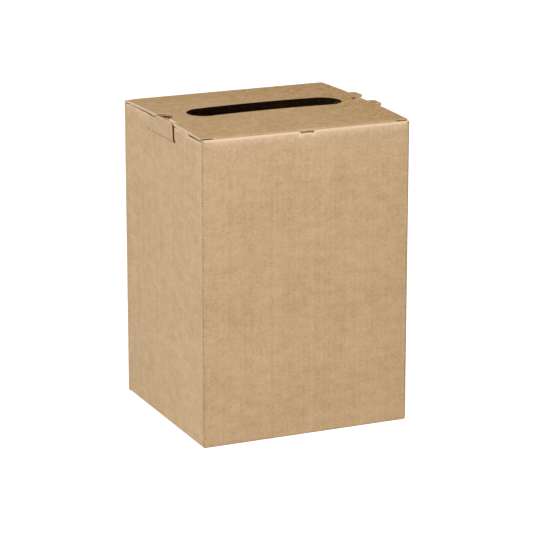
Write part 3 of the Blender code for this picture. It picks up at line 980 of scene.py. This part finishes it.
def addWalls():
    stations = {s for part in sheetPath for s in partStations(part)}
    stations |= {notchMiddle + side * offset for side in (-1, 1) for offset in walls["besideNotch"]}
    stations = sorted(stations)
    radius = box["fold"]
    rows = [radius - past for past in foldBend[:-1]] + list(walls["rows"])
    for top in (box["sideTop"], box["height"]):
        rows += [top - radius - walls["besideFold"][0], *[top - radius + past for past in foldBend]]
    loop = matched(wallLoop(), stations, rows)
    panel = Panel(placeWall, wallWearAndShading).build([loop], grid(stations, rows), walls["clearance"])
    nodes = ("front_wall", "back_wall", "left_wall", "right_wall", "glue_flap")
    panel.finish("carton_walls", "carton", nodes)
    addFlutes("carton_cut_edges", "carton", [([loop], placeWall)])


addWalls()
print("walls are up")

# Lid: one crowned sheet from the fold of the back wall to its front fold, with the posting slot,
# a half-round thumb hole and two tongues in each side edge, and a slit at each end of the front fold

lid = {
    "edge": 0.1245,            # raw side edges, from the middle
    "edgeBow": 0.0020,         # rise of the side edges at mid depth
    "middleBow": 0.0024,       # further rise in the middle
    "nose": -0.1119,           # outer face of the front fold
    "slitInner": 0.110,        # the front fold ends here; the slits run on to the side edges
    "slitFront": -0.1111,
    "flatFrom": (0.1098, 0.1125),
    "besideSlit": (0.0004, 0.0010, 0.0017, 0.0025, 0.0045),
    "slot": (0.187, 0.041),    # length and width of the posting slot
    "recess": (0.1189, -0.032, 0.040),    # the side edge steps in here: inset, front, back
    "thumbHole": (0.1245, 0.004, 0.014),  # centre across, centre along, radius
    "tongues": ((-0.031, -0.011), (0.019, 0.039)),
    "tongueReach": 0.1325,     # ends of the right tongues, which lie straight
    "tongueFold": 0.1195,      # the left tongues start to bend down here
    "tongueLow": 0.3357,       # their lower edge
    "tongueTop": 0.3490,       # top of the one that hangs below the side edge
    "tongueRound": 0.0025,
    "paintedShade": 0.11,            # painted shade: the top is painted browner than the walls, most to the back and right
    "paintedShadeSpan": (-0.06, 0.17),
    "rightPaintedShade": 0.025,
    "rightSpan": (0.04, 0.11),
    "noseHighlight": (0.6, 0.0018), # how strong the painted highlight is and how wide
    "backHighlight": (0.5, 0.0016),
    "highlightSet": 0.0012,         # the painted highlight's middle is this far before the end of a fold
    # Painted highlight on the bend of the left tongues
    "tongueHighlight": (0.9, 0.0018),
    "tongueHighlightAt": 0.1215,
    "tongueHighlightFrom": -0.117,
    "tongueColumns": [-0.125, -0.128, -0.132, -0.135],
    "grid": 0.0055,
}


def lidRise(across, along):
    x = across / box["halfWidth"]
    y = along / box["halfDepth"]
    return max(0, 1 - y * y) * (lid["edgeBow"] + lid["middleBow"] * (1 - min(1, x * x)))


def placeLid(across, along, level):
    thick = board["thick"]
    share = level / thick
    backStart = box["halfDepth"] - box["fold"]
    noseStart = lid["nose"] + box["fold"]
    outer, inner = (along, 0), (min(max(along, lid["nose"] + thick), box["halfDepth"] - thick), thick)
    if along > backStart:
        outer, inner = foldOver(backStart, 1, along - backStart)
    elif along < noseStart:
        # The fold ends at the slits, and beyond them the edge lies flat
        flat = easedStep(abs(across), *lid["flatFrom"])
        bentOuter, bentInner = foldOver(noseStart, -1, noseStart - along)
        outer = mixed(bentOuter, (along, 0), flat)
        inner = mixed(bentInner, (along, thick), flat)
    y, drop = mixed(inner, outer, share)
    x = across
    bendStart = -lid["tongueFold"]
    if across < bendStart + box["fold"] and onLeftTongue(along):
        outer, inner = foldOver(bendStart, -1, bendStart - across)
        x, drop = mixed(inner, outer, share)
        across = max(across, bendStart)
    return (x, y, box["height"] + lidRise(across, y) - drop)


def onLeftTongue(along):
    return lid["recess"][1] < along < lid["tongues"][0][1] + 0.001


def lidWearAndShading(across, along):
    # Painted highlights on the back and front folds and on the bend of the left tongues, and painted shade
    # over the top
    mark = bell(along - box["halfDepth"] + lid["highlightSet"], *lid["backHighlight"])
    if abs(across) < lid["slitInner"]:
        mark = max(mark, bell(along - lid["nose"] + lid["highlightSet"], *lid["noseHighlight"]))
    mark -= lid["paintedShade"] * (0.50 + 0.50 * easedStep(across + along, *lid["paintedShadeSpan"]))
    mark -= lid["rightPaintedShade"] * easedStep(across, *lid["rightSpan"])
    if across < lid["tongueHighlightFrom"] and onLeftTongue(along):
        mark = max(mark, bell(across + lid["tongueHighlightAt"], *lid["tongueHighlight"]))
    return mark


def tonguePoints(span, inset, reach):
    low, high = span
    corner = lid["tongueRound"]
    return [(inset, low, "shut"), (reach, low, "shut", corner), (reach, high, "cut", corner),
            (inset, high, "cut")]


def lidSide(reach, hanging):
    # Right side edge from the front corner to the back, with the tongues at the reach given.
    # On the side where they hang, the rear one is a panel of its own and the edge runs on above it.
    inset, front, back = lid["recess"]
    centre, middle, radius = lid["thumbHole"]
    last = pi - atan2(sqrt(radius ** 2 - (centre - inset) ** 2), centre - inset)
    points = [(lid["edge"], lid["slitFront"], "shut"), (lid["edge"], front, "shut"), (inset, front, "cut")]
    points += tonguePoints(lid["tongues"][0], inset, reach)
    end = pi / 2 if hanging else last
    word = "cut" if hanging else "shut"
    points += arcPoints((centre, middle), radius, -last, end - 2 * pi, 20, word)
    if hanging:
        points[-1] = (*points[-1][:2], "shut")
    else:
        points += tonguePoints(lid["tongues"][1], inset, reach)
        points += [(inset, back, "cut"), (lid["edge"], back, "shut")]
    points.append((lid["edge"], box["halfDepth"] - box["fold"], "shut"))
    return points


def lidLoops():
    arcLength = box["fold"] * pi / 2
    noseEnd = lid["nose"] + box["fold"] - arcLength - box["gap"]
    backEnd = box["halfDepth"] - box["fold"] + arcLength / 2
    top = box["height"] + lidRise(-lid["tongueFold"], 0.01)
    leftReach = lid["tongueFold"] + arcLength + top - box["fold"] - lid["tongueLow"]
    right = roundedOutline(lidSide(lid["tongueReach"], False))
    left = swapped(roundedOutline(lidSide(leftReach, True)))
    inner = lid["slitInner"]
    outline = [(-inner, noseEnd, "fold"), (inner, noseEnd, "shut"), (inner, lid["slitFront"], "open")]
    outline += right + [(lid["edge"], backEnd, "fold"), (-lid["edge"], backEnd, "shut")]
    outline += left[:-1] + [(*left[-1][:2], "open"), (-inner, lid["slitFront"], "shut")]
    length, width = lid["slot"]
    reach = length / 2 - width / 2
    # Its cut edge is painted black, a painted shadow inside the box
    slot = arcPoints((reach, 0), width / 2, pi / 2, -pi / 2, 28, "dark")
    slot += arcPoints((-reach, 0), width / 2, -pi / 2, -3 * pi / 2, 28, "dark")
    return outline, slot


def addLid():
    outline, slot = lidLoops()
    backStart = box["halfDepth"] - box["fold"]
    noseStart = lid["nose"] + box["fold"]
    inner = lid["slitInner"]
    outside = [inner + step for step in lid["besideSlit"]]
    columns = spread(-inner, inner, lid["grid"]) + outside + [-across for across in outside]
    rows = spread(noseStart + 0.004, backStart - 0.004, lid["grid"])
    rows += [noseStart + 0.0015, backStart - 0.0015]
    rows += [noseStart - past for past in foldBend] + [backStart + past for past in foldBend[:5]]
    bendStart = -lid["tongueFold"]
    tongueColumns = [bendStart + 0.0015, *[bendStart - past for past in foldBend]]
    tongueColumns += lid["tongueColumns"]
    low, high = lid["tongues"][0]
    tongueRows = spread(low + 0.0015, high - 0.0015, 0.0034)
    loops = [matched(outline, columns + tongueColumns, rows + tongueRows), divided(slot, lid["grid"])]
    spots = grid(columns, rows) + grid(tongueColumns, tongueRows)
    nodes = ("lid", "left_front_tongue", "right_rear_tongue", "right_front_tongue")
    Panel(placeLid, lidWearAndShading).build(loops, spots).finish("lid_panel", "lid", nodes)

    def placeTongue(across, along, level):
        return (bendStart - box["fold"] + board["thick"] - level, across, along)

    low, high = lid["tongues"][1]
    corner = lid["tongueRound"]
    corners = [(-high, lid["tongueLow"], "shut", corner), (-low, lid["tongueLow"], "shut", corner),
               (-low, lid["tongueTop"], "fold"), (-high, lid["tongueTop"], "shut")]
    tongue = divided(swapped(roundedOutline(corners)), 0.006)
    Panel(placeTongue).build([tongue]).finish("left_rear_tongue_panel", "lid", ("left_rear_tongue",))
    addFlutes("lid_cut_edges", "lid", [(loops, placeLid)])


addLid()
print("lid is on")


def addFlap(name, body, loop, place, wear=None, spots=()):
    # A panel on a body and a node of the same name, and the flutes in its cut edges
    Panel(place, wear).build([loop], spots).finish(name + "_panel", body, (body,))
    addFlutes(name + "_cut_edges", body, [([loop], place)])


# Tuck flap, hanging from the front fold and leaning into the box

tuck = {
    "length": 0.045,
    "foldHalf": 0.1097,
    "shoulder": 0.1204,
    "taper": 0.006,
    "corner": 0.014,
    "lean": 6.5,
    "axis": (-0.1091, 0.3472),
}


def placeTuck(across, along, level):
    # Along is measured down from the fold, as a negative number
    lean = radians(tuck["lean"])
    y, z = tuck["axis"]
    return (across, y - level * cos(lean) - along * sin(lean), z - level * sin(lean) + along * cos(lean))


def addTuckFlap():
    gap = box["gap"]
    shoulder, fold, length = tuck["shoulder"], tuck["foldHalf"], tuck["length"]
    low = -gap - board["thick"] / 2
    end = shoulder - tuck["taper"]
    corners = [(-end, -length, "cut", tuck["corner"]), (end, -length, "cut", tuck["corner"]),
               (shoulder, low, "cut"), (fold, low, "cut"), (fold, -gap, "fold"), (-fold, -gap, "cut"),
               (-fold, low, "cut"), (-shoulder, low, "cut")]
    addFlap("tuck_flap", "tuck_flap", divided(roundedOutline(corners, 8), 0.02), placeTuck)


# Dust flaps, folded in from the side walls and cut away round the tongues

dust = {
    "hinge": 0.1214,
    "free": 0.0998,
    "front": -0.072,
    "back": 0.106,
    "frontTaper": 0.0072,     # set back this much at the free edge
    "backTaper": 0.0038,
    "corner": 0.006,
    "low": 0.3441,
    "notch": 0.11178,
    "notches": ((-0.0335, -0.0085), (0.0165, 0.0415)),
    "ledge": {"left": 0.1226, "right": 0.1262},     # between the notches it runs out to the tab,
    "ledgeSpan": (-0.0073, 0.0153),
    "lift": 0.0016,           # stands this much higher there,
    "bend": 0.0022,           # and bends up by this in the thumb hole
    "bendSpan": (0.1165, 0.1235),
    "liftWidths": (0.006, 0.012),   # along and across
    "spacing": (0.004, 0.003),
    "paintedShade": (0.25, 0.006),  # painted shade along its free edge, how strongly and how wide
}


def addDustFlap(side, word):
    # Drawn for the right flap; across is front to back, along is away from the middle of the box
    front, back, hinge, notch = dust["front"], dust["back"], dust["hinge"], dust["notch"]
    (foreStart, foreEnd), (rearStart, rearEnd) = dust["notches"]
    ledge = dust["ledge"][word]
    start, end = dust["ledgeSpan"]
    corners = [(rearEnd, hinge, "cut"), (rearEnd, notch, "cut"), (end, notch, "cut"),
               (end, ledge, "shut"), (start, ledge, "cut"), (start, notch, "cut"),
               (foreStart, notch, "cut"), (foreStart, hinge, "fold"), (front, hinge, "cut"),
               (front + dust["frontTaper"], dust["free"], "slit", dust["corner"]),
               (back - dust["backTaper"], dust["free"], "cut", dust["corner"]), (back, hinge, "fold")]
    loop = divided(roundedOutline(corners), 0.004)
    columnStep, rowStep = dust["spacing"]
    columns = spread(front + 0.008, back - 0.006, columnStep)
    rows = spread(dust["free"] + 0.002, ledge - 0.001, rowStep)
    deep, wide = dust["liftWidths"]

    def placeDust(across, along, level):
        lift = easedStep(along, notch - deep, hinge) * easedStep(across, foreStart - wide, foreEnd)
        lift *= 1 - easedStep(across, rearStart, rearEnd + wide)
        bend = dust["bend"] * easedStep(along, *dust["bendSpan"]) if foreEnd < across < rearStart else 0
        return (side * along, across, dust["low"] + level + lift * dust["lift"] + bend)

    def dustEdgeShade(across, along):
        # Painted shade along the free edge, which shows through the slot
        return -bell(along - dust["free"], *dust["paintedShade"])

    addFlap(word + "_dust", word + "_dust_flap", loop, placeDust, dustEdgeShade, grid(columns, rows))


# Lock tabs in the side walls, pushed out a little by the tongues

tab = {
    "front": -0.032,
    "back": 0.040,
    "foot": 0.3302,
    "rows": (0.3308, 0.3315, 0.3322, 0.3332, 0.340),
    "top": {"left": 0.3508, "right": 0.3489},
    "backTop": {"left": 0.3469, "right": 0.3473},
    "stepBack": {"left": 0.0170, "right": 0.036},   # behind this the top edge is lower
    "endDrop": 0.0016,        # and so is its front end
    "axis": 0.3299,
    "lean": {"left": 2.5, "right": 20},
}


def addLockTab(side, word):
    lean = radians(tab["lean"][word])
    top, backTop, stepBack = tab["top"][word], tab["backTop"][word], tab["stepBack"][word]
    front, back, foot = tab["front"], tab["back"], tab["foot"]

    def placeTab(across, along, level):
        height = along - tab["axis"]
        dent = bell(height, *walls["score"]) * level / board["thick"]
        inward = board["thick"] - level + dent
        out = -inward * cos(lean) + height * sin(lean)
        up = inward * sin(lean) + height * cos(lean)
        return (side * (box["halfWidth"] + out), across, tab["axis"] + up)

    corners = [(front, foot, "fold"), (back, foot, "shut"), (back, backTop, "shut"),
               (stepBack + 0.001, backTop, "shut"), (stepBack, top, "shut"),
               (front + 0.004, top, "shut"), (front, top - tab["endDrop"], "slit")]
    columns = spread(front + 0.003, back - 0.003, 0.011)
    rows = tab["rows"]
    loop = matched(corners, columns, rows)
    body = word + "_lock_tab"
    Panel(placeTab).build([loop], grid(columns, rows)).finish(word + "_tab_panel", body, (body,))


# Base, a crash-lock bottom: two large flaps that hook into each other, and glued side flaps on them

base = {
    "side": 0.1212,
    "hinge": 0.1119,
    "seam": 0.0004,          # half the gap of the hooked seam
    "hookHalf": 0.052,
    "hookReach": 0.024,
    "hookOffset": 0.014,
    "hookRound": 0.009,
    "minorHinge": 0.1219,
    "minorReach": 0.103,
    "minorDepth": 0.088,
    "glueDepth": 0.066,
    "glueMargin": 0.003,
    "minorSetback": 0.012,
    "minorRound": 0.012,
    "minorLow": 0.0031,
}


def flatPlace(side, low, turned):
    # The base flaps lie with their outer face down; the turned ones are drawn across for along
    def place(across, along, level):
        x, y = (along, across) if turned else (across, along)
        return (side * x, side * y, low + board["thick"] - level)
    return place


def majorFlap(word, side):
    gap, half, reach, offset = base["seam"], base["hookHalf"], base["hookReach"], base["hookOffset"]
    end, hinge, rounding = base["side"], base["hinge"], base["hookRound"]
    corners = [(-end, -hinge, "fold"), (end, -hinge, "cut"), (end, -gap, "cut"),
               (half + gap, -gap, "cut"), (half + gap, -reach - gap, "cut"),
               (offset - gap, -reach - gap, "cut"), (offset - gap, reach - gap, "cut", rounding),
               (-half + gap, reach - gap, "cut", rounding), (-half + gap, -gap, "cut"), (-end, -gap, "cut")]
    loop = roundedOutline(corners, 8)
    place = flatPlace(side, 0, False)
    Panel(place).build([loop]).finish(word + "_base_panel", "carton", (word + "_base_flap",))
    return [([loop], place)]


def minorFlap(word, side):
    hinge, reach = base["minorHinge"], base["minorReach"]
    margin, rounding = base["glueMargin"], base["minorRound"]
    free = hinge - base["minorDepth"]
    tabFree = hinge - base["glueDepth"]
    crease = -reach + base["glueDepth"]
    gap = box["gap"] / sqrt(2)
    flap = [(hinge, -reach + gap, "fold"), (hinge, reach, "cut"),
            (free, reach - base["minorSetback"], "cut", rounding), (free, crease, "cut", rounding),
            (tabFree, crease + gap, "fold")]
    glue = [(hinge - margin, -reach - gap + margin, "fold"), (tabFree, crease - gap, "cut"),
            (tabFree, -reach + margin, "cut"), (hinge - 2 * margin, -reach + margin, "cut")]
    place = flatPlace(side, base["minorLow"], True)
    made = []
    for corners, name, node in ((flap, "_side_base_panel", "_base_flap"),
                                (glue, "_base_glue_panel", "_base_glue_tab")):
        drawn = backwards(roundedOutline(corners, 8))
        loop = [(along, across, word) for across, along, word in drawn]
        Panel(place).build([loop]).finish(word + name, "carton", (word + node,))
        made.append(([loop], place))
    return made


def addBase():
    made = majorFlap("front", 1) + majorFlap("back", -1) + minorFlap("right", 1) + minorFlap("left", -1)
    addFlutes("base_cut_edges", "carton", made)


addTuckFlap()
for side, word in ((-1, "left"), (1, "right")):
    addDustFlap(side, word)
    addLockTab(side, word)
addBase()
print("flaps, tabs and base are in")
